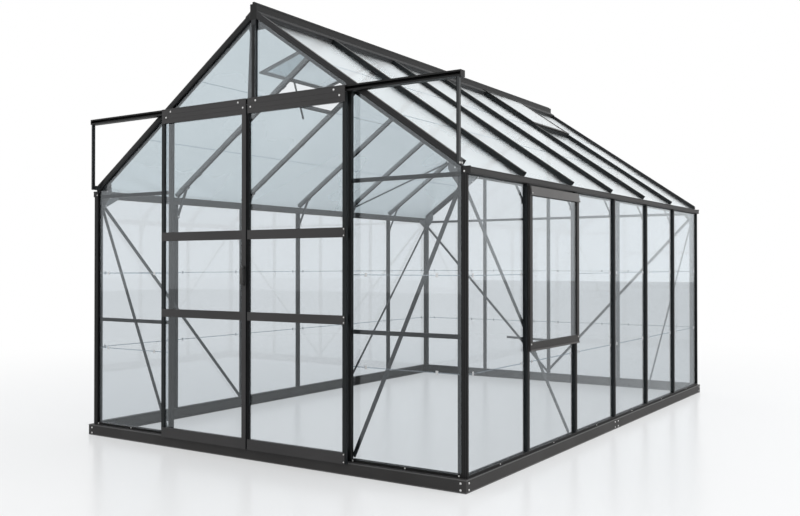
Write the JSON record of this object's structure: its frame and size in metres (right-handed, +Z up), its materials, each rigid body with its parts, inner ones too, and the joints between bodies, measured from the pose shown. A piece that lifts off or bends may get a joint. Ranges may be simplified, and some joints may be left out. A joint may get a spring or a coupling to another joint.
{
  "type": "glass greenhouse",
  "caption": "Gable-roofed glass greenhouse with a dark metal frame, a steel plinth, twin sliding doors on an outside track, a side window and roof vents.",
  "frame": {"origin": "centre of the bounding box on the ground plane", "axes": "+Z up; the gable with the sliding doors faces -Y; the long walls face -X and +X; the side window is in the +X wall"},
  "size_m": [2.544, 3.818, 2.3542],
  "materials": {
    "base": "satin anthracite paint",
    "frame": "satin anthracite powder coat",
    "gutter": "satin anthracite powder coat",
    "window": "satin anthracite powder coat",
    "door": "satin anthracite powder coat",
    "bracing": "satin anthracite powder coat",
    "handle": "satin anthracite powder coat",
    "roller": "black nylon",
    "glass": "clear horticultural glass"
  },
  "bodies": {
    "house": {"base_gable_rails": "base", "base_side_rails": "base", "base_joints": "base", "sills": "frame", "corner_posts": "frame", "wall_bars_left": "frame", "wall_bars_right": "frame", "gutter_left": "gutter", "gutter_right": "gutter", "door_surround": "frame", "gable_mullions": "frame", "door_track": "frame", "track_struts": "frame", "gable_tie_bars": "frame", "gable_rafters": "frame", "roof_bars_left": "frame", "roof_bars_right": "frame", "ridge_beam": "frame", "ridge_covers": "frame", "wall_braces": "bracing", "gable_braces": "bracing", "roof_braces": "bracing", "knee_braces": "bracing", "gussets": "bracing", "glass_walls": "glass", "glass_front": "glass", "glass_back": "glass", "glass_roof": "glass", "window_frame": "window", "window_glass": "glass", "window_stay": "bracing", "vent_left_frame": "frame", "vent_right_frame": "frame", "vent_glass": "glass", "vent_stays": "bracing", "transoms": "frame"},
    "door_left": {"door_left_stiles": "door", "door_left_rails": "door", "door_left_glass": "glass", "door_left_rollers": "roller", "door_handle": "handle"},
    "door_right": {"door_right_stiles": "door", "door_right_rails": "door", "door_right_glass": "glass", "door_right_rollers": "roller"}
  },
  "joints": [
    {"name": "door_left_slide", "type": "slide", "parent": "house", "child": "door_left", "axis": [-1, 0, 0], "range_m": [0, 0.588]},
    {"name": "door_right_slide", "type": "slide", "parent": "house", "child": "door_right", "axis": [1, 0, 0], "range_m": [0, 0.588]}
  ]
}
